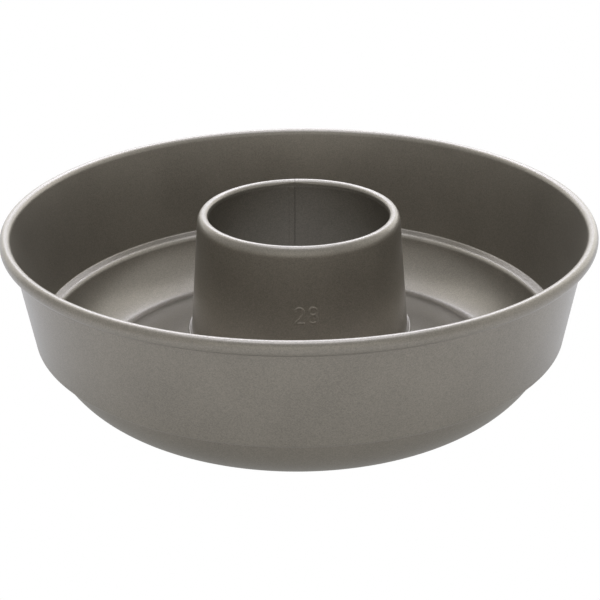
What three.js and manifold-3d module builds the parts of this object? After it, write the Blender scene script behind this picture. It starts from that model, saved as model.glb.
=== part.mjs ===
// Ring cake pan of coated sheet steel: a drawn pan shell, a rolled centre tube and a wire in the rolled rim.
// Millimetres, +Z up. The origin is on the axis, at the level that the pan stands on.

import * as THREE from 'three';
import { mergeVertices } from 'three/addons/utils/BufferGeometryUtils.js';
import Module from 'manifold-3d';

// Sheet and clearance
const PAN_SHEET = 0.6;
const TUBE_SHEET = 0.5;
const CLEARANCE = 0.3;

// Rolled rim, an oval round its wire: the mouth is the free opening inside it
const MOUTH_RADIUS = 139.3;
const RIM_HALF_WIDTH = 2.7;
const RIM_HALF_HEIGHT = 3.4;
const RIM_HEIGHT = 78.6;
const RIM_END_ANGLE = -135;

// Wall foot and ledge, on the middle of the sheet
const LEDGE_OUTER_RADIUS = 131.75;
const LEDGE_WIDTH = 5;
const LEDGE_HEIGHT = 27.4;
const LEDGE_DROP = 0.8;
const LEDGE_OUTER_BEND = 1.2;
const LEDGE_INNER_BEND = 2.5;

// Bowl and the flat ring that the pan stands on
const BOWL_BEND = 42;
const STANDING_RING_RADIUS = 103.2;
const STANDING_RING_WIDTH = 6.6;
const STANDING_RING_BEND = 12;

// Top of the floor cone and the collar that it turns up into
const FLOOR_TOP_HEIGHT = 18.7;
const COLLAR_BEND = 3;
const COLLAR_RISE = 1.9;

// Centre tube: its foot radius is taken outside, at the lock bead. A long round shoulder leads up to its ridge,
// and a lip turns in and down from there
const TUBE_FOOT_RADIUS = 55.05;
const TUBE_TOP_HEIGHT = 83.5;
const RIDGE_RADIUS = 47;
const SHOULDER_WIDTH = 3.2;
const SHOULDER_HEIGHT = 6;
const LIP_WIDTH = 2.3;
const LIP_HEIGHT = 2.2;
const LOCK_BEAD_WIDTH = 3;
const LOCK_BEAD_DEPTH = 2.3;
const LOCK_BEAD_BEND = 0.8;
const FLANGE_LENGTH = 6;

// Tube seam: its place round the tube, its gap and lap, and the notch that frees the lip there
const SEAM_ANGLE = 92.8;
const SEAM_GAP = 0.5;
const SEAM_LAP = 3.3;
const SEAM_JOGGLE = 1.8;
const SEAM_ROOT = 1.2;
const SEAM_END_MARGIN = 4;
const LIP_NOTCH_LEFT = 17;
const LIP_NOTCH_RIGHT = 13;
const LIP_NOTCH_RISE = 1.2;

// Most of a straight stretch that the bends at its ends may take
const BEND_SHARE = 0.95;

// Facets: counts, and the most degrees that one straight side of a bend may turn
const ROUND_STEPS = 56;
const WIRE_SIDES = 8;
const BEND_STEP = 34;
const WIDE_BEND_STEP = 10;
const WELD_TOLERANCE = 1e-4;

const QUARTER = Math.PI / 2;
const radians = THREE.MathUtils.degToRad;
const wasm = await Module();
wasm.setup();

// A bend of a sheet profile: a corner point and the radius that rounds it off.
function corner(radius, height, bend = 0, step = BEND_STEP) {
  return { point: new THREE.Vector2(radius, height), bend, step };
}

// Half of the angle between a corner's two legs.
function halfOpening(corners, index) {
  const { point } = corners[index];
  const inward = corners[index - 1].point.clone().sub(point).normalize();
  const outward = corners[index + 1].point.clone().sub(point).normalize();
  return Math.acos(THREE.MathUtils.clamp(inward.dot(outward), -1, 1)) / 2;
}

// Length that each corner's bend takes of its legs. Two bends share a leg that is too short for both.
function bendReaches(corners) {
  const last = corners.length - 1;
  const wanted = corners.map(({ bend }, index) => {
    const isEnd = index === 0 || index === last;
    return isEnd ? 0 : bend / Math.tan(halfOpening(corners, index));
  });
  const room = (index, other) => {
    const leg = corners[index].point.distanceTo(corners[other].point);
    return Math.min(1, (BEND_SHARE * leg) / (wanted[index] + wanted[other]));
  };
  return wanted.map((reach, index) => (
    reach === 0 ? 0 : reach * Math.min(room(index, index - 1), room(index, index + 1))
  ));
}

// Points along a line of corners, each rounded by an arc.
function roundedPath(corners) {
  const reaches = bendReaches(corners);
  return corners.flatMap(({ point, step }, index) => {
    const reach = reaches[index];
    if (reach === 0) {
      return [point.clone()];
    }
    const inward = corners[index - 1].point.clone().sub(point).normalize();
    const outward = corners[index + 1].point.clone().sub(point).normalize();
    const half = halfOpening(corners, index);
    const radius = reach * Math.tan(half);
    const bisector = inward.clone().add(outward).normalize();
    const centre = point.clone().addScaledVector(bisector, radius / Math.sin(half));
    const start = point.clone().addScaledVector(inward, reach).sub(centre).angle();
    const turn = (Math.PI - 2 * half) * -Math.sign(inward.cross(outward));
    return ovalPoints(oval(centre, radius), start, start + turn, step);
  });
}

// Circle or upright oval that a sheet's middle bends round.
function oval(centre, halfWidth, halfHeight = halfWidth) {
  return { centre, half: new THREE.Vector2(halfWidth, halfHeight) };
}

// Point of an oval at an angle of the circle that it is stretched from.
function onOval({ centre, half }, angle) {
  return new THREE.Vector2(Math.cos(angle), Math.sin(angle)).multiply(half).add(centre);
}

// Points along part of an oval, both ends included.
function ovalPoints(bend, from, to, step = BEND_STEP) {
  const count = Math.ceil(Math.abs(to - from) / radians(step));
  return Array.from({ length: count + 1 }, (_, index) => onOval(bend, from + ((to - from) * index) / count));
}

// Points round a curl that winds down from one angle to another, with its quarter points among them.
function curlPoints(bend, from, to) {
  const stops = [from];
  for (let angle = Math.floor(from / QUARTER) * QUARTER; angle > to; angle -= QUARTER) {
    stops.push(angle);
  }
  stops.push(to);
  const arcs = stops.slice(1).map((stop, index) => ovalPoints(bend, stops[index], stop).slice(1));
  return [onOval(bend, from), ...arcs.flat()];
}

// Angle on an oval at which a straight sheet that comes from a point runs on to it; side is -1 or 1.
function tangentAngle(from, { centre, half }, side) {
  const away = from.clone().sub(centre).divide(half);
  const angle = away.angle() + side * Math.acos(1 / away.length());
  return THREE.MathUtils.euclideanModulo(angle, 2 * Math.PI);
}

// Of the two points at these distances from two centres, the left one, seen from the first to the second.
function circlesMeet(first, firstRadius, second, secondRadius) {
  const apart = second.clone().sub(first);
  const span = apart.length();
  const along = (firstRadius ** 2 - secondRadius ** 2 + span ** 2) / (2 * span);
  const aside = Math.sqrt(firstRadius ** 2 - along ** 2);
  const way = apart.normalize();
  const left = new THREE.Vector2(-way.y, way.x);
  return first.clone().addScaledVector(way, along).addScaledVector(left, aside);
}

// Closed outline of a sheet of this thickness whose middle follows the path.
function sheetOutline(path, thickness) {
  const sides = [1, -1].map((side) => path.map((point, index) => {
    const before = path[Math.max(index - 1, 0)];
    const after = path[Math.min(index + 1, path.length - 1)];
    const first = point.clone().sub(before);
    const second = after.clone().sub(point);
    const firstWay = first.lengthSq() > 0 ? first.normalize() : second.clone().normalize();
    const secondWay = second.lengthSq() > 0 ? second.normalize() : firstWay.clone();
    const along = firstWay.clone().add(secondWay).normalize();
    const normal = new THREE.Vector2(-along.y, along.x);
    return point.clone().addScaledVector(normal, (side * thickness) / 2 / along.dot(firstWay));
  }));
  return [...sides[0], ...sides[1].reverse(), sides[0][0].clone()];
}

// Ring-shaped piece: an outline of radius and height turned once round the axis, with its faces outwards.
function turned(outline) {
  const profile = THREE.ShapeUtils.isClockWise(outline) ? outline.reverse() : outline;
  return new THREE.LatheGeometry(profile, ROUND_STEPS).rotateX(QUARTER);
}

function toSolid(geometry) {
  const bare = geometry.clone();
  bare.deleteAttribute('normal');
  bare.deleteAttribute('uv');
  const merged = mergeVertices(bare, WELD_TOLERANCE);
  return new wasm.Manifold(new wasm.Mesh({
    numProp: 3,
    vertProperties: new Float32Array(merged.attributes.position.array),
    triVerts: new Uint32Array(merged.index.array),
  }));
}

function toGeometry(solid) {
  const mesh = solid.getMesh();
  const geometry = new THREE.BufferGeometry();
  geometry.setAttribute('position', new THREE.BufferAttribute(new Float32Array(mesh.vertProperties), 3));
  geometry.setIndex(new THREE.BufferAttribute(new Uint32Array(mesh.triVerts), 1));
  return geometry;
}

// Rolled rim: the wall runs straight on to the curl, over the top and round under it.
const rimCentre = new THREE.Vector2(MOUTH_RADIUS + RIM_HALF_WIDTH, RIM_HEIGHT);
const rimCurl = oval(rimCentre, RIM_HALF_WIDTH - PAN_SHEET / 2, RIM_HALF_HEIGHT - PAN_SHEET / 2);

// The lock bead sits just over the collar's edge, so the floor is held between it and the flange.
const collarTop = FLOOR_TOP_HEIGHT + COLLAR_RISE;
const lockBeadHeight = collarTop + CLEARANCE + (TUBE_SHEET + LOCK_BEAD_WIDTH) / 2;

// Bend of the tube's sheet that ends at its ridge, by its width and height outside.
function ridgeBend(width, height) {
  const centre = new THREE.Vector2(RIDGE_RADIUS, TUBE_TOP_HEIGHT - height);
  return oval(centre, width - TUBE_SHEET / 2, height - TUBE_SHEET / 2);
}

// Tube wall: straight from the lock bead up to where it runs on to the shoulder.
const shoulder = ridgeBend(SHOULDER_WIDTH, SHOULDER_HEIGHT);
const lip = ridgeBend(LIP_WIDTH, LIP_HEIGHT);
const tubeFoot = new THREE.Vector2(TUBE_FOOT_RADIUS - TUBE_SHEET / 2, lockBeadHeight);
const shoulderStart = tangentAngle(tubeFoot, shoulder, 1);
const tubeWallTop = onOval(shoulder, shoulderStart);
const tubeWallWay = tubeWallTop.clone().sub(tubeFoot).normalize();
const tubeWallOut = new THREE.Vector2(tubeWallWay.y, -tubeWallWay.x);

// Point of the tube wall's middle at a height, moved out square to the wall.
function onTubeWall(height, out = 0) {
  return tubeFoot.clone()
    .addScaledVector(tubeWallWay, (height - tubeFoot.y) / tubeWallWay.y)
    .addScaledVector(tubeWallOut, out);
}

// The collar goes round the tube and the flange lies under the floor, a clearance apart.
const nesting = TUBE_SHEET / 2 + CLEARANCE + PAN_SHEET / 2;
const standing = PAN_SHEET / 2;
const floorTop = onTubeWall(FLOOR_TOP_HEIGHT, nesting);
const floorFoot = new THREE.Vector2(STANDING_RING_RADIUS - STANDING_RING_WIDTH, standing);
const floorWay = floorFoot.clone().sub(floorTop).normalize();
const floorUnder = new THREE.Vector2(floorWay.y, -floorWay.x);

function panShell() {
  const ledgeOuter = new THREE.Vector2(LEDGE_OUTER_RADIUS, LEDGE_HEIGHT);
  const ledgeInner = ledgeOuter.clone().sub(new THREE.Vector2(LEDGE_WIDTH, LEDGE_DROP));
  const rim = curlPoints(rimCurl, tangentAngle(ledgeOuter, rimCurl, -1), radians(RIM_END_ANGLE));
  const bowl = bowlPoints(ledgeInner);
  const path = [
    ...roundedPath([
      corner(...onTubeWall(collarTop, nesting)),
      corner(...floorTop, COLLAR_BEND),
      corner(...floorFoot, STANDING_RING_BEND, WIDE_BEND_STEP),
      corner(...bowl[0]),
    ]),
    ...bowl.slice(1, -1),
    ...roundedPath([
      corner(...bowl.at(-1)),
      corner(...ledgeInner, LEDGE_INNER_BEND),
      corner(...ledgeOuter, LEDGE_OUTER_BEND),
      corner(...rim[0]),
    ]),
    ...rim.slice(1),
  ];
  return turned(sheetOutline(path, PAN_SHEET));
}

// The bowl rises from the standing ring in a tight bend and runs on in a wide one. It stops a little short of
// the ledge, whose own bend needs room.
function bowlPoints(top) {
  const ringCentre = new THREE.Vector2(STANDING_RING_RADIUS, standing + STANDING_RING_BEND);
  const bowlCentre = circlesMeet(ringCentre, BOWL_BEND - STANDING_RING_BEND, top, BOWL_BEND);
  const join = ringCentre.clone().sub(bowlCentre);
  const joinAngle = Math.atan2(join.y, join.x);
  const end = top.clone().sub(bowlCentre);
  const bendRoom = 2 * LEDGE_INNER_BEND;
  const endAngle = Math.atan2(end.y, end.x) - bendRoom / BOWL_BEND;
  return [
    ...ovalPoints(oval(ringCentre, STANDING_RING_BEND), -QUARTER, joinAngle, WIDE_BEND_STEP),
    ...ovalPoints(oval(bowlCentre, BOWL_BEND), joinAngle, endAngle, WIDE_BEND_STEP).slice(1),
  ];
}

function centreTube() {
  const halfBead = LOCK_BEAD_WIDTH / 2;
  const path = [
    ...ovalPoints(lip, 2 * QUARTER, QUARTER),
    ...ovalPoints(shoulder, QUARTER, shoulderStart).slice(1),
    ...roundedPath([
      corner(...tubeWallTop),
      corner(...onTubeWall(lockBeadHeight + halfBead), LOCK_BEAD_BEND),
      corner(...onTubeWall(lockBeadHeight, LOCK_BEAD_DEPTH), LOCK_BEAD_BEND),
      corner(...onTubeWall(lockBeadHeight - halfBead), LOCK_BEAD_BEND),
      corner(...flangeTop(), COLLAR_BEND + nesting),
      corner(...flangeTop().addScaledVector(floorWay, FLANGE_LENGTH)),
    ]).slice(1),
  ];
  const ring = toSolid(turned(sheetOutline(path, TUBE_SHEET)));
  return toGeometry(ring.subtract(seamSlit()).subtract(lipNotch()).add(seamLap()));
}

// Where the tube wall's line meets the flange's line, which runs under the floor.
function flangeTop() {
  const start = onTubeWall(FLOOR_TOP_HEIGHT);
  const offset = floorTop.clone().addScaledVector(floorUnder, nesting).sub(start);
  return start.addScaledVector(tubeWallWay, offset.cross(floorWay) / tubeWallWay.cross(floorWay));
}

// Piece drawn with the seam on its +Y side, turned to the seam's place.
function atSeam(geometry) {
  return toSolid(geometry.rotateZ(radians(SEAM_ANGLE) - QUARTER));
}

// Slit that parts the two ends of the rolled strip, from inside the lip to outside the flange.
function seamSlit() {
  const depth = TUBE_FOOT_RADIUS + 2 * FLANGE_LENGTH;
  const slit = new THREE.BoxGeometry(SEAM_GAP, depth, 2 * TUBE_TOP_HEIGHT);
  return atSeam(slit.translate(0, depth / 2, TUBE_TOP_HEIGHT / 2));
}

// Notch in the lip's free edge: a low gable, longer on one side of the seam than on the other. It stays inside
// the ridge, so the shoulder is left whole.
function lipNotch() {
  const edge = TUBE_TOP_HEIGHT - LIP_HEIGHT;
  const bottom = edge - LIP_HEIGHT;
  const gable = new THREE.Shape([
    new THREE.Vector2(-LIP_NOTCH_LEFT, bottom),
    new THREE.Vector2(LIP_NOTCH_RIGHT, bottom),
    new THREE.Vector2(LIP_NOTCH_RIGHT, edge),
    new THREE.Vector2(0, edge + LIP_NOTCH_RISE),
    new THREE.Vector2(-LIP_NOTCH_LEFT, edge),
  ]);
  const depth = RIDGE_RADIUS;
  const prism = new THREE.ExtrudeGeometry(gable, { depth, bevelEnabled: false }).rotateX(QUARTER);
  const inside = new THREE.CylinderGeometry(depth, depth, 2 * TUBE_TOP_HEIGHT, ROUND_STEPS).rotateX(QUARTER);
  return atSeam(prism.translate(0, depth, 0)).intersect(toSolid(inside));
}

// Lap behind the seam: the strip's one end steps out by a sheet and runs on behind the other end.
function seamLap() {
  const step = TUBE_SHEET + CLEARANCE;
  const bottom = onTubeWall(lockBeadHeight + LOCK_BEAD_WIDTH + SEAM_END_MARGIN);
  const top = onTubeWall(tubeWallTop.y - SEAM_END_MARGIN);
  const wallRadius = (bottom.x + top.x) / 2;
  const path = [
    new THREE.Vector2(-SEAM_LAP, step),
    new THREE.Vector2(SEAM_GAP, step),
    new THREE.Vector2(SEAM_GAP + SEAM_JOGGLE, 0),
    new THREE.Vector2(SEAM_GAP + SEAM_JOGGLE + SEAM_ROOT, 0),
  ];
  const bent = path.map(({ x, y }) => new THREE.Vector2(x, y - (x * x) / (2 * wallRadius)));
  const shape = new THREE.Shape(sheetOutline(bent, TUBE_SHEET).slice(0, -1));
  const lap = new THREE.ExtrudeGeometry(shape, { depth: bottom.distanceTo(top), bevelEnabled: false });
  const lean = Math.atan2(bottom.x - top.x, top.y - bottom.y);
  return atSeam(lap.rotateX(lean).translate(0, bottom.x, bottom.y));
}

// Core of the rolled rim, a clearance inside the sheet.
function rimWire() {
  const wireRadius = RIM_HALF_WIDTH - PAN_SHEET - CLEARANCE;
  const wire = new THREE.TorusGeometry(rimCentre.x, wireRadius, WIRE_SIDES, ROUND_STEPS);
  return wire.translate(0, 0, rimCentre.y);
}

const coating = { color: 0x6f6a61, roughness: 0.42, metalness: 0.75 };
const pieces = [
  ['pan_shell', panShell(), coating],
  ['centre_tube', centreTube(), { ...coating, color: 0x625c53 }],
  ['rim_wire', rimWire(), { color: 0x9a9a98, roughness: 0.35, metalness: 1 }],
];

const pan = new THREE.Group();
pan.name = 'ring_cake_pan';
for (const [name, geometry, finish] of pieces) {
  const mesh = new THREE.Mesh(geometry, new THREE.MeshStandardMaterial(finish));
  mesh.name = name;
  pan.add(mesh);
}

export default pan;
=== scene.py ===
"""Looks of a ring cake pan: drawn shell, rolled centre tube and rim wire, on a pale floor in soft light.

Sizes are real ones, in metres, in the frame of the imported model: +Z up, with the pan standing on z = 0.
"""

import logging
import math
from collections.abc import Sequence
from dataclasses import dataclass, field
from enum import Enum

import bmesh
import bpy
import numpy as np
from mathutils import Matrix, Vector


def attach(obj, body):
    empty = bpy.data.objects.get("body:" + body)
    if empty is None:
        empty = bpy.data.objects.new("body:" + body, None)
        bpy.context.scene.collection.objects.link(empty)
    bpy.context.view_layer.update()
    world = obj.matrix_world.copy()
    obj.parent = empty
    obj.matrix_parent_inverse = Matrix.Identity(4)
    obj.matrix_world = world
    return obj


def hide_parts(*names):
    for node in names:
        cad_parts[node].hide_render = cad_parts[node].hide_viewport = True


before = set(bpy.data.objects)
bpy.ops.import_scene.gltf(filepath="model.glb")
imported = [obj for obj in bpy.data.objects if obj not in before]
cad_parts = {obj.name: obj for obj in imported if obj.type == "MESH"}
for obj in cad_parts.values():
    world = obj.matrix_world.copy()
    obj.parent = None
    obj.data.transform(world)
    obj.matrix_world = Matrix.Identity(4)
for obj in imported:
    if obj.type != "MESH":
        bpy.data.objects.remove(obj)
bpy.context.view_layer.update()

MM = 0.001
BODY = "root"
LOG = logging.getLogger("ring_cake_pan")

Colour = tuple[float, float, float]


class Slot(Enum):
    """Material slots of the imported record."""

    PAN_COATING = "pan_coating"
    TUBE_COATING = "tube_coating"
    WIRE_STEEL = "wire_steel"


# Profiles: points are pairs of radius and height


@dataclass(frozen=True)
class Corner:
    """A corner of a sheet's middle line, and the radius of the bend that rounds it off."""

    point: np.ndarray
    bend: float = 0.0


def unit(vector: np.ndarray) -> np.ndarray:
    """A vector of length 1 in the same direction."""
    return vector / np.linalg.norm(vector)


def cross(first: np.ndarray, second: np.ndarray) -> float:
    """The upright part of the cross product of two plane vectors."""
    return float(first[0] * second[1] - first[1] * second[0])


def smooth_step(share: np.ndarray) -> np.ndarray:
    """A share from 0 to 1 that starts and ends gently; values outside are held at the ends."""
    held = np.clip(share, 0.0, 1.0)
    return held * held * (3.0 - 2.0 * held)


def arc(centre: np.ndarray, radius: float, start: float, end: float, step: float) -> np.ndarray:
    """Points on an arc, both ends included.

    Args:
        centre: The arc's centre.
        radius: Its radius.
        start: The angle of its first point, in radians.
        end: The angle of its last point.
        step: The most that it turns from one point to the next.

    Returns:
        The points, one a row.
    """
    count = max(1, math.ceil(abs(end - start) / step))
    angles = np.linspace(start, end, count + 1)
    return centre + radius * np.stack([np.cos(angles), np.sin(angles)], axis=1)


@dataclass(frozen=True)
class Oval:
    """An upright oval that a sheet's middle line bends round."""

    centre: np.ndarray
    half_width: float
    half_height: float

    def at(self, angles: np.ndarray) -> np.ndarray:
        """Points of the oval at the angles of a circle that is stretched to it, in radians."""
        across = self.half_width * np.cos(angles)
        return self.centre + np.stack([across, self.half_height * np.sin(angles)], axis=-1)

    def line(self, start: float, end: float, step: float) -> np.ndarray:
        """Points from one angle to another, a step or less apart."""
        return self.at(np.linspace(start, end, max(1, math.ceil(abs(end - start) / step)) + 1))

    def tangent(self, point: np.ndarray, side: int) -> float:
        """Angle at which a straight line from a point runs on to the oval.

        Args:
            point: Where the line comes from.
            side: 1 or -1, for the one tangent or the other.

        Returns:
            The angle in radians, from 0 to a full turn.
        """
        away = (point - self.centre) / np.array([self.half_width, self.half_height])
        turn = side * math.acos(1 / float(np.linalg.norm(away)))
        return (math.atan2(away[1], away[0]) + turn) % math.tau


def rounded(corners: Sequence[Corner], step: float) -> np.ndarray:
    """Points along a line of corners, each rounded by an arc.

    Args:
        corners: The corners in order.
        step: The most that an arc turns from one point to the next, in radians.

    Returns:
        The points, one a row, from the first corner to the last.
    """
    rows = [corners[0].point[None]]
    for before, here, after in zip(corners, corners[1:], corners[2:]):
        inward = unit(before.point - here.point)
        outward = unit(after.point - here.point)
        half = math.acos(float(np.clip(inward @ outward, -1.0, 1.0))) / 2
        if here.bend == 0.0:
            rows.append(here.point[None])
            continue
        centre = here.point + unit(inward + outward) * here.bend / math.sin(half)
        first = here.point + inward * here.bend / math.tan(half) - centre
        start = math.atan2(first[1], first[0])
        turn = math.copysign(math.pi - 2 * half, -cross(inward, outward))
        rows.append(arc(centre, here.bend, start, start + turn, step))
    rows.append(corners[-1].point[None])
    return np.concatenate(rows)


def circles_meet(
    first: np.ndarray, first_radius: float, second: np.ndarray, second_radius: float
) -> np.ndarray:
    """Of the two points at given distances from two centres, the left one, seen from first to second.

    Args:
        first: The first centre.
        first_radius: The distance from it.
        second: The second centre.
        second_radius: The distance from that one.

    Returns:
        The point.
    """
    apart = second - first
    span = float(np.linalg.norm(apart))
    along = (first_radius**2 - second_radius**2 + span**2) / (2 * span)
    aside = math.sqrt(first_radius**2 - along**2)
    way = apart / span
    return first + way * along + np.array([-way[1], way[0]]) * aside


def with_rows(path: np.ndarray, longest: float, guard: float) -> np.ndarray:
    """A path with more points on its straight stretches, so that shading stays even beside the bends.

    Args:
        path: The points of the path.
        longest: A stretch longer than this gets more points.
        guard: How far the first and last of them lie from the stretch's ends.

    Returns:
        The path with the added points.
    """
    rows = []
    for start, end in zip(path, path[1:]):
        rows.append(start[None])
        length = float(np.linalg.norm(end - start))
        if length > longest:
            places = np.linspace(guard, length - guard, math.ceil(length / longest) + 1) / length
            rows.append(start + places[:, None] * (end - start))
    rows.append(path[-1][None])
    return np.concatenate(rows)


# Meshes


@dataclass(frozen=True)
class SheetEdge:
    """Rounding of a sheet's cut edge: the points across it, and its depth as a share of the thickness."""

    steps: int = 3
    depth: float = 0.3


EDGE = SheetEdge()
SHARP_ANGLE = math.radians(50)


def sheet_ring(path: np.ndarray, thickness: float) -> np.ndarray:
    """Closed outline of a sheet with softly rounded edges.

    Args:
        path: The sheet's middle line.
        thickness: The sheet's thickness.

    Returns:
        The outline: the left side, the last edge, the right side backwards and the first edge.
    """
    ways = np.diff(path, axis=0)
    ways /= np.linalg.norm(ways, axis=1)[:, None]
    before = np.concatenate([ways[:1], ways])
    after = np.concatenate([ways, ways[-1:]])
    along = before + after
    along /= np.linalg.norm(along, axis=1)[:, None]
    normal = np.stack([-along[:, 1], along[:, 0]], axis=1)
    mitre = np.sum(along * before, axis=1)[:, None]
    offset = normal * thickness / 2 / mitre
    turns = np.linspace(0.0, math.pi, EDGE.steps + 2)[1:-1, None]
    depth = thickness * EDGE.depth
    last = path[-1] + offset[-1] * np.cos(turns) + along[-1] * depth * np.sin(turns)
    first = path[0] - offset[0] * np.cos(turns) - along[0] * depth * np.sin(turns)
    return np.concatenate([path + offset, last, (path - offset)[::-1], first])


def swept(rings: np.ndarray, azimuths: np.ndarray, closed: bool) -> bmesh.types.BMesh:
    """Mesh of an outline that is swept round the axis.

    Args:
        rings: For each azimuth, the outline's points as radius and height.
        azimuths: The azimuths in radians, one a row, or one for each point.
        closed: Whether the last azimuth joins the first. If not, the two ends are closed by strips.

    Returns:
        A closed mesh with its faces pointing out.
    """
    columns, points = rings.shape[:2]
    x = rings[..., 0] * np.cos(azimuths)
    y = rings[..., 0] * np.sin(azimuths)
    places = np.stack([x, y, rings[..., 1]], axis=2).reshape(-1, 3)
    made = bmesh.new()
    vertices = [made.verts.new(place) for place in places]
    for column in range(columns if closed else columns - 1):
        here = column * points
        there = (column + 1) % columns * points
        for row in range(points):
            up = (row + 1) % points
            made.faces.new([vertices[i] for i in (here + row, here + up, there + up, there + row)])
    if not closed:
        for start in (0, (columns - 1) * points):
            close_end(made, vertices[start:start + points])
    bmesh.ops.recalc_face_normals(made, faces=made.faces)
    return made


def close_end(made: bmesh.types.BMesh, ring: list[bmesh.types.BMVert]) -> None:
    """Closes the open end of a swept sheet by a strip of faces across its thickness.

    Args:
        made: The mesh.
        ring: The end's vertices, in the order of sheet_ring.
    """
    count = (len(ring) - 2 * EDGE.steps) // 2
    left = ring[:count]
    last = ring[count:count + EDGE.steps]
    right = ring[count + EDGE.steps:2 * count + EDGE.steps][::-1]
    first = ring[2 * count + EDGE.steps:]
    for row in range(count - 1):
        made.faces.new([left[row], left[row + 1], right[row + 1], right[row]])
    made.faces.new([left[-1], *last, right[-1]])
    made.faces.new([right[0], *first, left[0]])


def to_piece(made: bmesh.types.BMesh, name: str) -> bpy.types.Object:
    """Turns a mesh into a smoothly shaded object of the scene.

    Args:
        made: The mesh, which is freed.
        name: The name of the piece.

    Returns:
        The object.
    """
    mesh = bpy.data.meshes.new(name)
    made.to_mesh(mesh)
    made.free()
    mesh.shade_smooth()
    mesh.set_sharp_from_angle(angle=SHARP_ANGLE)
    piece = bpy.data.objects.new(name, mesh)
    bpy.context.scene.collection.objects.link(piece)
    return piece


def seat(piece: bpy.types.Object, node: str) -> None:
    """Puts a piece in its CAD node's place on the pan.

    Args:
        piece: The piece.
        node: The node that it stands for.
    """
    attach(piece, BODY)
    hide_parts(node)


def paint(piece: bpy.types.Object, material: bpy.types.Material) -> None:
    """Gives a piece one material all over."""
    piece.data.materials.clear()
    piece.data.materials.append(material)


# Shaders


class Value:
    """A shader socket that takes part in Python expressions on numbers."""

    def __init__(self, graph: "Graph", socket: bpy.types.NodeSocket) -> None:
        """Wraps a socket of a graph."""
        self.graph = graph
        self.socket = socket

    def __add__(self, other: "Value | float") -> "Value":
        """Sum with a value or number."""
        return self.graph.math("ADD", self, other)

    def __sub__(self, other: "Value | float") -> "Value":
        """Difference from a value or number."""
        return self.graph.math("SUBTRACT", self, other)

    def __rsub__(self, other: float) -> "Value":
        """Difference of a number and this value."""
        return self.graph.math("SUBTRACT", other, self)

    def __mul__(self, other: "Value | float") -> "Value":
        """Product with a value or number."""
        return self.graph.math("MULTIPLY", self, other)

    __radd__ = __add__
    __rmul__ = __mul__


class Graph:
    """A node tree that is filled by expressions."""

    def __init__(self, tree: bpy.types.NodeTree) -> None:
        """Empties a node tree and keeps it."""
        tree.nodes.clear()
        self.tree = tree

    def node(self, kind: str, settings: dict | None = None, inputs: dict | None = None) -> bpy.types.Node:
        """Adds a node.

        Args:
            kind: The node's type.
            settings: Its own settings, which are set first.
            inputs: The values or links of its sockets, by name or number.

        Returns:
            The node.
        """
        made = self.tree.nodes.new(kind)
        for name, setting in (settings or {}).items():
            setattr(made, name, setting)
        for name, given in (inputs or {}).items():
            if isinstance(given, Value):
                self.tree.links.new(given.socket, made.inputs[name])
            else:
                made.inputs[name].default_value = given
        return made

    def value(
        self, kind: str, output: str, settings: dict | None = None, inputs: dict | None = None
    ) -> Value:
        """Adds a node and gives one of its outputs.

        Args:
            kind: The node's type.
            output: The output's name.
            settings: The node's own settings.
            inputs: The values or links of its sockets.

        Returns:
            The output as a value.
        """
        return Value(self, self.node(kind, settings, inputs).outputs[output])

    def math(self, operation: str, *values: "Value | float") -> Value:
        """A Math node on values and numbers."""
        return self.value("ShaderNodeMath", "Value", {"operation": operation}, dict(enumerate(values)))

    def mixed(self, share: Value, first: Colour, second: Colour) -> Value:
        """A colour between two colours."""
        inputs = {"Factor": share, 6: (*first, 1.0), 7: (*second, 1.0)}
        made = self.node("ShaderNodeMix", {"data_type": "RGBA", "clamp_factor": True}, inputs)
        return Value(self, made.outputs[2])

    def shader(self, kind: str, inputs: dict) -> Value:
        """A shader node's output, whatever it is called."""
        return Value(self, self.node(kind, None, inputs).outputs[0])


COATING_COLOUR: Colour = (0.247, 0.226, 0.188)

# Middle of a pattern that runs from 0 to 1
HALF = 0.5


def scaled(colour: Colour, factor: float) -> Colour:
    """A colour made lighter or darker by a factor."""
    return tuple(channel * factor for channel in colour)


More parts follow.
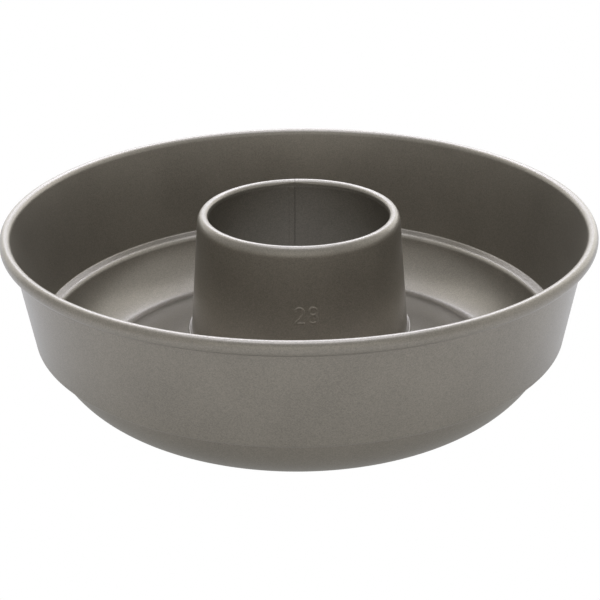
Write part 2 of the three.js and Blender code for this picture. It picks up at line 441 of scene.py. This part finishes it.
@dataclass(frozen=True)
class Coating:
    """Metallic non-stick coating: fine flakes in a slightly uneven satin film."""

    name: str
    colour: Colour
    metallic: float = 0.8
    roughness: float = 0.38
    gloss: float = 0.3
    gloss_roughness: float = 0.2
    flake: float = 0.35 * MM
    grain: float = 0.8 * MM
    cloud: float = 32 * MM
    flake_share: float = 0.55
    grain_share: float = 0.5
    cloud_share: float = 0.45
    contrast: float = 0.26
    grain_roughness: float = 0.12
    cloud_roughness: float = 0.06
    grain_height: float = 0.008 * MM
    grain_strength: float = 0.5
    grain_detail: float = 3.0
    cloud_detail: float = 2.0

    def material(self) -> bpy.types.Material:
        """Makes the coating's material.

        Returns:
            The material.
        """
        made = bpy.data.materials.new(self.name)
        made.use_nodes = True
        graph = Graph(made.node_tree)
        place = graph.value("ShaderNodeTexCoord", "Object")
        flake = self.flakes(graph, place)
        grain = self.noise(graph, place, self.grain, self.grain_detail)
        cloud = self.noise(graph, place, self.cloud, self.cloud_detail)
        coarse = (flake - HALF) * self.flake_share
        share = HALF + coarse + (grain - HALF) * self.grain_share + (cloud - HALF) * self.cloud_share
        dark = scaled(self.colour, 1 - self.contrast)
        light = scaled(self.colour, 1 + self.contrast)
        tone = graph.mixed(share, dark, light)
        uneven = (grain - HALF) * self.grain_roughness
        bump = graph.value("ShaderNodeBump", "Normal", None, {
            "Strength": self.grain_strength,
            "Distance": self.grain_height,
            "Height": grain,
        })
        film = graph.shader("ShaderNodeBsdfPrincipled", {
            "Base Color": tone,
            "Metallic": self.metallic,
            "Roughness": self.roughness + uneven + (cloud - HALF) * self.cloud_roughness,
            "Coat Weight": self.gloss,
            "Coat Roughness": self.gloss_roughness,
            "Normal": bump,
        })
        graph.node("ShaderNodeOutputMaterial", None, {"Surface": film})
        return made

    def flakes(self, graph: Graph, place: Value) -> Value:
        """Brightness of each flake, at random from 0 to 1.

        Args:
            graph: The graph to add to.
            place: The place on the object.

        Returns:
            The brightness.
        """
        cells = graph.value("ShaderNodeTexVoronoi", "Color", None, {"Vector": place, "Scale": 1 / self.flake})
        return graph.value("ShaderNodeSeparateColor", "Red", None, {"Color": cells})

    def noise(self, graph: Graph, place: Value, size: float, detail: float) -> Value:
        """Soft noise of a size.

        Args:
            graph: The graph to add to.
            place: The place on the object.
            size: The size of its patches.
            detail: The octaves of finer noise in it.

        Returns:
            The noise, from 0 to 1.
        """
        inputs = {"Vector": place, "Scale": 1 / size, "Detail": detail}
        return graph.value("ShaderNodeTexNoise", "Fac", None, inputs)


@dataclass(frozen=True)
class WireSteel:
    """Drawn steel wire with fine lines along it."""

    name: str = "wire_steel"
    dark: Colour = (0.42, 0.41, 0.4)
    light: Colour = (0.6, 0.6, 0.59)
    roughness: float = 0.34
    line_roughness: float = 0.2
    lines: float = 0.25 * MM
    line_detail: float = 2.0

    def material(self) -> bpy.types.Material:
        """Makes the wire's material.

        Returns:
            The material.
        """
        made = bpy.data.materials.new(self.name)
        made.use_nodes = True
        graph = Graph(made.node_tree)
        place = graph.value("ShaderNodeTexCoord", "Object")
        inputs = {"Vector": place, "Scale": 1 / self.lines, "Detail": self.line_detail}
        lines = graph.value("ShaderNodeTexNoise", "Fac", None, inputs)
        film = graph.shader("ShaderNodeBsdfPrincipled", {
            "Base Color": graph.mixed(lines, self.dark, self.light),
            "Metallic": 1.0,
            "Roughness": self.roughness + (lines - HALF) * self.line_roughness,
        })
        graph.node("ShaderNodeOutputMaterial", None, {"Surface": film})
        return made


# The pan


@dataclass(frozen=True)
class Fineness:
    """How finely round forms are divided."""

    columns: int = 288
    bend: float = math.radians(7.5)
    wide_bend: float = math.radians(1.5)
    longest: float = 3 * MM
    guard: float = 0.2 * MM


FINE = Fineness()

# Azimuth of the tube's front line, which faces the camera
FRONT = 3 * math.pi / 2


@dataclass(frozen=True)
class Joint:
    """Where the floor's collar goes round the tube: sizes that the shell and the tube share."""

    pan_sheet: float = 0.6 * MM
    tube_sheet: float = 0.5 * MM
    clearance: float = 0.3 * MM
    floor_height: float = 18.7 * MM
    collar_bend: float = 0.7 * MM
    collar_rise: float = 0.5 * MM
    bead_width: float = 3 * MM

    @property
    def collar_top(self) -> float:
        """Height of the collar's edge."""
        return self.floor_height + self.collar_rise

    @property
    def bead_height(self) -> float:
        """Height of the lock bead, just over the collar's edge."""
        return self.collar_top + self.clearance + (self.tube_sheet + self.bead_width) / 2

    @property
    def wall_foot(self) -> float:
        """Height at which the tube's plain wall starts, clear of the lock bead's bends."""
        return self.bead_height + self.bead_width

    @property
    def nesting(self) -> float:
        """Distance between the middles of the two sheets where they nest."""
        return self.tube_sheet / 2 + self.clearance + self.pan_sheet / 2


@dataclass(frozen=True)
class TubeWall:
    """The wall of the centre tube from its lock bead up, its long round shoulder and the lip turned in."""

    joint: Joint
    foot_radius: float = 55.05 * MM
    top_height: float = 83.5 * MM
    ridge_radius: float = 47 * MM
    shoulder_width: float = 3.2 * MM
    shoulder_height: float = 6 * MM
    lip_width: float = 2.3 * MM
    lip_height: float = 2.2 * MM

    def bend(self, width: float, height: float) -> Oval:
        """Middle line of a bend that ends at the ridge, by its outer width and height."""
        half_sheet = self.joint.tube_sheet / 2
        centre = np.array([self.ridge_radius, self.top_height - height])
        return Oval(centre, width - half_sheet, height - half_sheet)

    @property
    def shoulder(self) -> Oval:
        """The bend from the wall to the ridge."""
        return self.bend(self.shoulder_width, self.shoulder_height)

    @property
    def lip(self) -> Oval:
        """The bend from the ridge in and down."""
        return self.bend(self.lip_width, self.lip_height)

    @property
    def foot(self) -> np.ndarray:
        """Middle of the wall at the lock bead."""
        return np.array([self.foot_radius - self.joint.tube_sheet / 2, self.joint.bead_height])

    @property
    def shoulder_start(self) -> float:
        """Angle at which the wall runs on to the shoulder."""
        return self.shoulder.tangent(self.foot, 1)

    @property
    def top(self) -> np.ndarray:
        """Middle of the wall where the shoulder starts."""
        return self.shoulder.at(np.array(self.shoulder_start))

    def at(self, height: float, out: float = 0.0) -> np.ndarray:
        """Point of the wall's middle at a height.

        Args:
            height: The height.
            out: How far the point is moved out, square to the wall.

        Returns:
            The point.
        """
        way = unit(self.top - self.foot)
        return self.foot + way * (height - self.foot[1]) / way[1] + np.array([way[1], -way[0]]) * out


@dataclass
class PanShell:
    """The drawn shell: collar, floor cone, standing ring, bowl, ledge, wall and rolled rim."""

    joint: Joint
    wall: TubeWall
    mouth_radius: float = 139.3 * MM
    rim_half_width: float = 2.7 * MM
    rim_half_height: float = 3.4 * MM
    rim_height: float = 78.6 * MM
    rim_end: float = math.radians(-135)
    ledge_radius: float = 131.75 * MM
    ledge_width: float = 5.0 * MM
    ledge_height: float = 27.5 * MM
    ledge_drop: float = 1.5 * MM
    ledge_outer_bend: float = 1.2 * MM
    ledge_inner_bend: float = 3.5 * MM
    ledge_inner_reach: float = 2.3 * MM
    bowl_bend: float = 41 * MM
    bowl_foot_bend: float = 8 * MM
    ring_radius: float = 104.4 * MM
    ring_width: float = 0.9 * MM
    floor_bend: float = 1 * MM

    @property
    def rim_centre(self) -> np.ndarray:
        """Centre of the rolled rim, where its wire lies."""
        return np.array([self.mouth_radius + self.rim_half_width, self.rim_height])

    @property
    def floor_foot(self) -> np.ndarray:
        """Where the floor cone meets the level of the standing ring."""
        return np.array([self.ring_radius - self.ring_width, self.joint.pan_sheet / 2])

    @property
    def floor_top(self) -> np.ndarray:
        """Where the floor cone meets the collar."""
        return self.wall.at(self.joint.floor_height, self.joint.nesting)

    def middle(self) -> np.ndarray:
        """Middle line of the sheet, from the collar's edge to the end of the rim.

        Returns:
            The points of the line.
        """
        outer = np.array([self.ledge_radius, self.ledge_height])
        inner = outer - np.array([self.ledge_width, self.ledge_drop])
        half_sheet = self.joint.pan_sheet / 2
        roll = Oval(self.rim_centre, self.rim_half_width - half_sheet, self.rim_half_height - half_sheet)
        rim = roll.line(roll.tangent(outer, -1), self.rim_end, FINE.bend)
        bowl = self.bowl(inner)
        floor = rounded([
            Corner(self.wall.at(self.joint.collar_top, self.joint.nesting)),
            Corner(self.floor_top, self.joint.collar_bend),
            Corner(self.floor_foot, self.floor_bend),
            Corner(bowl[0]),
        ], FINE.bend / 3)
        side = rounded([
            Corner(bowl[-1]),
            Corner(inner, self.ledge_inner_bend),
            Corner(outer, self.ledge_outer_bend),
            Corner(rim[0]),
        ], FINE.bend)
        return with_rows(np.concatenate([floor, bowl[1:-1], side, rim[1:]]), FINE.longest, FINE.guard)

    def bowl(self, top: np.ndarray) -> np.ndarray:
        """The bowl's line: a tight bend out of the standing ring, then a wide one to just below the ledge.

        Args:
            top: Where the bowl's line meets the ledge's.

        Returns:
            The points of the line.
        """
        foot = np.array([self.ring_radius, self.joint.pan_sheet / 2 + self.bowl_foot_bend])
        centre = circles_meet(foot, self.bowl_bend - self.bowl_foot_bend, top, self.bowl_bend)
        join = math.atan2(*(foot - centre)[::-1])
        end = math.atan2(*(top - centre)[::-1]) - self.ledge_inner_reach / self.bowl_bend
        tight = arc(foot, self.bowl_foot_bend, -math.pi / 2, join, FINE.bend / 3)
        return np.concatenate([tight, arc(centre, self.bowl_bend, join, end, FINE.wide_bend)[1:]])

    def build(self) -> bpy.types.Object:
        """Makes the shell's mesh.

        Returns:
            The shell.
        """
        ring = sheet_ring(self.middle(), self.joint.pan_sheet)
        azimuths = np.arange(FINE.columns)[:, None] * math.tau / FINE.columns
        rings = np.repeat(ring[None], FINE.columns, axis=0)
        piece = to_piece(swept(rings, azimuths, closed=True), "drawn_shell")
        seat(piece, "pan_shell")
        return piece


@dataclass
class SizeMark:
    """The pan's size in centimetres, two plain raised figures pressed into the front of the tube."""

    centre: float = 3.1 * MM
    height: float = 50.7 * MM
    figure_width: float = 4.2 * MM
    figure_height: float = 7.6 * MM
    figure_space: float = 2.2 * MM
    upper_loop: float = 1.8 * MM
    stroke: float = 1.3 * MM
    slope: float = 0.5 * MM
    rise: float = 0.18 * MM
    spacing: float = 0.1 * MM
    arc_step: float = 0.1
    crown_start: float = math.radians(160)
    crown_end: float = math.radians(-30)
    reach: float = 1.2

    def two(self) -> np.ndarray:
        """Line of the figure 2, from the lower left corner of its box."""
        radius = self.figure_width / 2
        centre = np.array([radius, self.figure_height - radius])
        crown = arc(centre, radius, self.crown_start, self.crown_end, self.arc_step)
        corners = np.array([[0.0, 0.0], [self.figure_width, 0.0]])
        return self.filled(np.concatenate([crown, corners]))

    def eight(self) -> np.ndarray:
        """Line of the figure 8, from the lower left corner of its box."""
        lower_loop = self.figure_height / 2 - self.upper_loop
        middle = self.figure_width / 2
        upper_centre = np.array([middle, self.figure_height - self.upper_loop])
        upper = arc(upper_centre, self.upper_loop, 0, math.tau, self.arc_step)
        lower = arc(np.array([middle, lower_loop]), lower_loop, 0, math.tau, self.arc_step)
        return np.concatenate([self.filled(upper), self.filled(lower)])

    def filled(self, line: np.ndarray) -> np.ndarray:
        """A line with points close enough together to measure from."""
        return with_rows(line, self.spacing, 0.0)

    def lines(self) -> np.ndarray:
        """Points along all the strokes, from the tube's front line and the level of the floor."""
        left = self.centre - self.figure_width - self.figure_space / 2
        right = self.centre + self.figure_space / 2
        bottom = self.height - self.figure_height / 2
        return np.concatenate([self.two() + [left, bottom], self.eight() + [right, bottom]])

    def relief(self, aside: np.ndarray, height: np.ndarray) -> np.ndarray:
        """How far the sheet is pressed out.

        Args:
            aside: Distances round the tube from its front line.
            height: Heights, one for each.

        Returns:
            The relief, one for each.
        """
        near = np.hypot(aside - self.centre, height - self.height) < self.figure_height * self.reach
        raised = np.zeros_like(aside)
        if near.any():
            lines = self.lines()
            apart = np.hypot(aside[near, None] - lines[:, 0], height[near, None] - lines[:, 1]).min(axis=1)
            raised[near] = self.rise * smooth_step((self.stroke / 2 - apart) / self.slope)
        return raised


@dataclass
class TubeSeam:
    """The lapped seam up the back of the tube, and the notch that frees the lip there."""

    azimuth: float = math.radians(92.3)
    gap: float = 0.7 * MM
    end_gap: float = 0.15 * MM
    lap: float = 3.3 * MM
    joggle: float = 1.8 * MM
    root: float = 1.2 * MM
    sunk: float = 0.02 * MM
    top_cover: float = 1 * MM
    pressed: float = 0.12 * MM
    pressed_edge: float = 0.35 * MM
    notch_left: float = 17 * MM
    notch_right: float = 13 * MM
    notch_rise: float = 1.2 * MM

    def notch(self, aside: float) -> float:
        """How far the lip's free edge is cut back, in a low gable.

        Args:
            aside: Distance round the tube, to the left of the seam seen from inside the front.

        Returns:
            The height of the cut.
        """
        reach = self.notch_left if aside > 0 else self.notch_right
        return self.notch_rise * max(0.0, 1 - abs(aside) / reach)

    def relief(self, aside: float) -> float:
        """How far the inner sheet is pressed in, towards the axis, over the end of the lap behind it."""
        if not 0 < aside < self.lap + self.pressed_edge:
            return 0.0
        return -self.pressed * float(smooth_step(np.array((self.lap - aside) / self.pressed_edge + 0.5)))


@dataclass
class CentreTube:
    """The rolled tube: lip with a short skirt, wall, lock bead and foot flange, with a lapped seam behind."""

    joint: Joint
    wall: TubeWall
    floor_way: np.ndarray
    floor_top: np.ndarray
    bead_depth: float = 2.9 * MM
    bead_bend: float = 0.5 * MM
    bead_tilt: float = 0.8 * MM
    flange_length: float = 6 * MM
    skirt: float = 1.2 * MM
    skirt_rows: int = 5
    lip_rows: int = 18
    shoulder_rows: int = 24
    mark_row: float = 0.2 * MM
    seam_column: float = 0.25 * MM
    notch_column: float = 0.8 * MM
    seam: TubeSeam = field(default_factory=TubeSeam)
    mark: SizeMark = field(default_factory=SizeMark)

    def foot_line(self) -> np.ndarray:
        """Middle line below the wall: lock bead, bend and flange.

        Returns:
            The points of the line, from the wall down.
        """
        joint = self.joint
        half_bead = joint.bead_width / 2
        under = np.array([self.floor_way[1], -self.floor_way[0]])
        start = self.wall.at(joint.floor_height)
        way = unit(self.wall.top - self.wall.foot)
        offset = self.floor_top + under * joint.nesting - start
        flange_top = start + way * cross(offset, self.floor_way) / cross(way, self.floor_way)
        corners = [
            Corner(self.wall.at(joint.wall_foot)),
            Corner(self.wall.at(joint.bead_height + half_bead - self.bead_tilt), self.bead_bend),
            Corner(self.wall.at(joint.bead_height + half_bead, self.bead_depth), self.bead_bend),
            Corner(self.wall.at(joint.bead_height - half_bead), self.bead_bend),
            Corner(flange_top, joint.collar_bend + joint.nesting),
            Corner(flange_top + self.floor_way * self.flange_length),
        ]
        return with_rows(rounded(corners, FINE.bend), FINE.longest, FINE.guard)

    def wall_heights(self, bottom: float) -> np.ndarray:
        """Heights of the wall's rows, close together at the size mark.

        Args:
            bottom: The height at which the foot's line starts.

        Returns:
            The heights, from the top down, without the two ends.
        """
        mark = self.mark
        high = mark.height + mark.figure_height / 2 + mark.stroke
        low = mark.height - mark.figure_height / 2 - mark.stroke
        top = self.wall.top[1]
        upper = np.linspace(top - FINE.guard, high, math.ceil((top - high) / FINE.longest))
        marked = np.linspace(high, low, math.ceil((high - low) / self.mark_row))
        lower = np.linspace(low, bottom + FINE.guard, math.ceil((low - bottom) / FINE.longest))
        return np.concatenate([upper, marked[1:], lower[1:]])

    def azimuths(self) -> np.ndarray:
        """Azimuths of the columns, from one side of the seam right round to the other.

        Returns:
            The azimuths in radians, rising.
        """
        radius = self.wall.foot_radius
        half_gap = self.seam.gap / 2 / radius
        start = self.seam.azimuth + half_gap
        end = self.seam.azimuth + math.tau - half_gap
        mark = self.mark
        front = FRONT + mark.centre / radius
        mark_half = (mark.figure_width + mark.figure_space / 2 + mark.stroke) / radius
        spans = [
            (start, start + (self.seam.lap + 4 * self.seam.pressed_edge) / radius, self.seam_column),
            (start, start + self.seam.notch_left * 1.1 / radius, self.notch_column),
            (start, end, math.tau * radius / FINE.columns),
            (front - mark_half, front + mark_half, self.mark_row),
            (end - self.seam.notch_right * 1.1 / radius, end, self.notch_column),
        ]
        columns = [np.linspace(a, b, math.ceil((b - a) * radius / width) + 1) for a, b, width in spans]
        merged = np.unique(np.round(np.concatenate(columns), 6))
        close = np.concatenate([[False], np.diff(merged) < self.mark_row / 2 / radius])
        close[-1] = False
        return merged[~close]

    def narrowed(self, azimuths: np.ndarray, rings: np.ndarray) -> np.ndarray:
        """Azimuths of all points, with the seam's gap drawn together in the bends above and below the wall.

        Args:
            azimuths: The azimuths of the columns.
            rings: The outlines of the columns.

        Returns:
            The azimuths, one for each point.
        """
        shift = (self.seam.gap - self.seam.end_gap) / 2 / self.wall.foot_radius
        bent = (rings[..., 1] > self.wall.top[1]) | (rings[..., 1] < self.joint.wall_foot)
        placed = np.repeat(azimuths[:, None], rings.shape[1], axis=1)
        placed[0] -= shift * bent[0]
        placed[-1] += shift * bent[-1]
        return placed

    def section(self, azimuth: float, heights: np.ndarray, foot: np.ndarray) -> np.ndarray:
        """Outline of the sheet at an azimuth.

        Args:
            azimuth: The azimuth in radians, from the seam on.
            heights: The heights of the wall's rows.
            foot: The middle line below the wall.

        Returns:
            The closed outline.
        """
        wall = self.wall
        radius = wall.foot_radius
        turned = (azimuth - self.seam.azimuth) * radius
        aside = turned if turned < math.pi * radius else turned - math.tau * radius
        cut = math.pi - math.asin(self.seam.notch(aside) / wall.lip.half_height)
        lip = wall.lip.at(np.linspace(cut, math.pi / 2, self.lip_rows))
        drop = np.linspace(wall.lip.centre[1] - self.skirt, lip[0][1], self.skirt_rows)[:-1]
        skirt = np.stack([np.full_like(drop, lip[0][0]), drop], axis=1)
        shoulder = wall.shoulder.at(np.linspace(math.pi / 2, wall.shoulder_start, self.shoulder_rows))
        pressed = np.full_like(heights, self.seam.relief(aside))
        radii = np.array([wall.at(height)[0] for height in heights])
        front = (azimuth - FRONT) * radii
        raised = pressed + self.mark.relief(front, heights)
        rows = np.array([wall.at(h, out) for h, out in zip(heights, raised)])
        return sheet_ring(np.concatenate([skirt, lip, shoulder[1:], rows, foot]), self.joint.tube_sheet)

    def add_lap(self, made: bmesh.types.BMesh) -> None:
        """Adds the lap: one end of the strip steps out by a sheet and runs on behind the other end.

        Args:
            made: The tube's mesh.
        """
        seam = self.seam
        sheet = self.joint.tube_sheet
        step = sheet + self.joint.clearance
        line = rounded([
            Corner(np.array([-seam.lap, step])),
            Corner(np.array([seam.gap, step]), sheet),
            Corner(np.array([seam.gap + seam.joggle, seam.sunk]), sheet),
            Corner(np.array([seam.gap + seam.joggle + seam.root, seam.sunk])),
        ], FINE.bend)
        outline = sheet_ring(line, sheet)
        rings = []
        for height in (self.joint.wall_foot, self.wall.top[1] + seam.top_cover):
            radius = self.wall.at(height)[0]
            turns = seam.azimuth - outline[:, 0] / radius
            out = radius + outline[:, 1]
            places = np.stack([out * np.cos(turns), out * np.sin(turns), np.full_like(out, height)], axis=1)
            rings.append([made.verts.new(place) for place in places])
        lower, upper = rings
        for here in range(len(lower)):
            there = (here + 1) % len(lower)
            made.faces.new([lower[here], upper[here], upper[there], lower[there]])
        for ring in rings:
            close_end(made, ring)
        bmesh.ops.recalc_face_normals(made, faces=made.faces)

    def build(self) -> bpy.types.Object:
        """Makes the tube's mesh.

        Returns:
            The tube.
        """
        foot = self.foot_line()
        heights = self.wall_heights(foot[0][1])
        azimuths = self.azimuths()
        rings = np.array([self.section(azimuth, heights, foot) for azimuth in azimuths])
        made = swept(rings, self.narrowed(azimuths, rings), closed=False)
        self.add_lap(made)
        piece = to_piece(made, "rolled_tube")
        seat(piece, "centre_tube")
        return piece


@dataclass
class RimWire:
    """The wire in the rolled rim, which stiffens it."""

    centre: np.ndarray
    radius: float
    sides: int = 20

    def build(self) -> bpy.types.Object:
        """Makes the wire's mesh.

        Returns:
            The wire.
        """
        ring = arc(self.centre, self.radius, 0.0, math.tau, math.tau / self.sides)[:-1]
        azimuths = np.arange(FINE.columns)[:, None] * math.tau / FINE.columns
        rings = np.repeat(ring[None], FINE.columns, axis=0)
        piece = to_piece(swept(rings, azimuths, closed=True), "rim_core")
        seat(piece, "rim_wire")
        return piece


# The studio

PAN_MIDDLE = (0.0, 0.0, 0.03)
DAYLIGHT: Colour = (0.96, 1.0, 1.2)


@dataclass(frozen=True)
class Softbox:
    """A large soft lamp."""

    name: str
    place: tuple[float, float, float]
    aim: tuple[float, float, float]
    size: tuple[float, float]
    radiance: float
    tint: Colour = (1.0, 1.0, 1.0)

    def build(self) -> None:
        """Adds the lamp to the scene, with the power that gives its face the radiance."""
        lamp = bpy.data.lights.new(self.name, "AREA")
        lamp.shape = "RECTANGLE"
        lamp.size = self.size[0]
        lamp.size_y = self.size[1]
        lamp.energy = self.radiance * math.pi * self.size[0] * self.size[1]
        lamp.color = self.tint
        holder = bpy.data.objects.new(self.name, lamp)
        holder.location = self.place
        holder.rotation_euler = (Vector(self.aim) - Vector(self.place)).to_track_quat("-Z", "Y").to_euler()
        bpy.context.scene.collection.objects.link(holder)


@dataclass
class Studio:
    """Pale floor, white surroundings and soft lamps."""

    floor_size: float = 8.0
    floor_segments: int = 8
    floor_drop: float = 0.05 * MM
    floor_colour: Colour = (0.4, 0.4, 0.4)
    floor_glow: float = 0.34
    # painted shade: the share of the floor's glow kept near the axis, under the tube's bore, rising to full
    # glow between the two radii below
    painted_shade_glow: float = 0.53
    painted_shade_radius: float = 75 * MM
    glow_radius: float = 100 * MM
    ambient: float = 0.64
    lamps: tuple[Softbox, ...] = (
        Softbox("top_softbox", (0.0, 0.0, 1.5), PAN_MIDDLE, (1.2, 1.0), 2.26, DAYLIGHT),
        Softbox("back_softbox", (0.0, 0.97, 1.17), PAN_MIDDLE, (1.4, 0.5), 4.73, DAYLIGHT),
        Softbox("lower_back_softbox", (0.0, 1.25, 0.9), PAN_MIDDLE, (1.4, 0.5), 2.5, DAYLIGHT),
        Softbox("low_back_panel", (0.0, 1.6, 0.4), PAN_MIDDLE, (2.0, 0.8), 0.96),
        Softbox("left_back_panel", (-1.1, 1.1, 0.5), PAN_MIDDLE, (1.0, 1.0), 0.7),
        Softbox("right_back_panel", (1.1, 1.1, 0.5), PAN_MIDDLE, (1.0, 1.0), 1.25),
        Softbox("high_left_panel", (-0.85, 0.6, 1.15), PAN_MIDDLE, (0.7, 0.7), 1.15),
        Softbox("high_right_panel", (0.85, 0.6, 1.15), PAN_MIDDLE, (0.7, 0.7), 1.06),
        Softbox("right_panel", (1.4, 0.0, 0.5), PAN_MIDDLE, (1.0, 1.0), 0.25),
        Softbox("front_panel", (0.0, -1.6, 0.4), PAN_MIDDLE, (2.0, 0.8), 0.34),
    )

    def build(self) -> None:
        """Adds the floor, the surroundings and the lamps."""
        self.build_floor()
        self.build_world()
        for lamp in self.lamps:
            lamp.build()

    def seen(self, graph: Graph) -> Value:
        """1 for a ray that shows the background to the camera."""
        return graph.value("ShaderNodeLightPath", "Is Camera Ray")

    def build_floor(self) -> None:
        """Adds the floor: a pale sheet, white to the eye, that lights the pan from below all round it, with
        its glow dimmed near the axis, under the tube's bore and the pan's middle, as painted shade.
        """
        made = bmesh.new()
        segments = self.floor_segments
        bmesh.ops.create_grid(made, x_segments=segments, y_segments=segments, size=self.floor_size / 2)
        floor = to_piece(made, "floor")
        floor.location.z = -self.floor_drop
        material = bpy.data.materials.new("floor_white")
        material.use_nodes = True
        graph = Graph(material.node_tree)
        matt = graph.shader("ShaderNodeBsdfDiffuse", {"Color": (*self.floor_colour, 1.0)})
        glow = graph.shader("ShaderNodeEmission", {"Strength": self.floor_glow})
        bright = graph.shader("ShaderNodeAddShader", {0: matt, 1: glow})
        # painted shade: the floor's glow is dimmed near the axis, under the tube's bore and the pan's middle,
        # where the pan's shadow would fall
        place = graph.value("ShaderNodeTexCoord", "Object")
        radius = graph.value("ShaderNodeVectorMath", "Value", {"operation": "LENGTH"}, {0: place})
        limits = {"Value": radius, "From Min": self.painted_shade_radius, "From Max": self.glow_radius}
        around = graph.value("ShaderNodeMapRange", "Result", {"interpolation_type": "SMOOTHSTEP"}, limits)
        share = self.painted_shade_glow + around * (1 - self.painted_shade_glow)
        lit = graph.shader("ShaderNodeMixShader", {0: share, 1: matt, 2: bright})
        white = graph.shader("ShaderNodeEmission", {"Strength": 1.0})
        shown = graph.shader("ShaderNodeMixShader", {0: self.seen(graph), 1: lit, 2: white})
        back = graph.value("ShaderNodeNewGeometry", "Backfacing")
        clear = graph.shader("ShaderNodeBsdfTransparent", {})
        both = graph.shader("ShaderNodeMixShader", {0: back, 1: shown, 2: clear})
        graph.node("ShaderNodeOutputMaterial", None, {"Surface": both})
        paint(floor, material)

    def build_world(self) -> None:
        """Sets the surroundings: white where they are seen, dimmer as a light."""
        world = bpy.data.worlds.new("studio_surroundings")
        world.use_nodes = True
        bpy.context.scene.world = world
        graph = Graph(world.node_tree)
        strength = self.ambient + self.seen(graph) * (1 - self.ambient)
        white = graph.shader("ShaderNodeBackground", {"Color": (1.0, 1.0, 1.0, 1.0), "Strength": strength})
        graph.node("ShaderNodeOutputWorld", None, {"Surface": white})


@dataclass(frozen=True)
class Viewpoint:
    """The camera, at the photograph's angle and distance."""

    back: float = 600 * MM
    height: float = 307.5 * MM
    pitch: float = math.radians(24.4165)
    yaw: float = math.radians(0.025)
    roll: float = math.radians(-0.54)
    lens: float = 77.97
    sensor: float = 36.0
    nearest: float = 50 * MM

    def build(self) -> None:
        """Adds the camera and makes it the scene's own."""
        data = bpy.data.cameras.new("photo_view")
        data.lens = self.lens
        data.sensor_width = self.sensor
        data.clip_start = self.nearest
        camera = bpy.data.objects.new("photo_view", data)
        upright = Matrix.Rotation(math.pi / 2, 4, "X")
        turned = Matrix.Rotation(-self.yaw, 4, "Z") @ upright
        tilted = turned @ Matrix.Rotation(-self.pitch, 4, "X") @ Matrix.Rotation(self.roll, 4, "Z")
        camera.matrix_world = Matrix.Translation((0.0, -self.back, self.height)) @ tilted
        bpy.context.scene.collection.objects.link(camera)
        bpy.context.scene.camera = camera


def main() -> None:
    """Builds the view, the pan and the studio, and reports each piece."""
    logging.basicConfig(level=logging.INFO, format="%(name)s: %(message)s")
    bpy.context.scene.view_settings.view_transform = "Standard"
    Viewpoint().build()
    joint = Joint()
    wall = TubeWall(joint)
    shell = PanShell(joint, wall)
    floor_way = unit(shell.floor_foot - shell.floor_top)
    tube = CentreTube(joint, wall, floor_way, shell.floor_top)
    wire_radius = shell.rim_half_width - joint.pan_sheet - joint.clearance
    wire = RimWire(shell.rim_centre, wire_radius)
    finishes = (
        Coating("pan_coating", COATING_COLOUR).material(),
        Coating("tube_coating", COATING_COLOUR).material(),
        WireSteel().material(),
    )
    for part, finish in zip((shell, tube, wire), finishes):
        piece = part.build()
        paint(piece, finish)
        LOG.info("%s: %d faces, %s", piece.name, len(piece.data.polygons), finish.name)
    Studio().build()


if __name__ == "__main__":
    main()
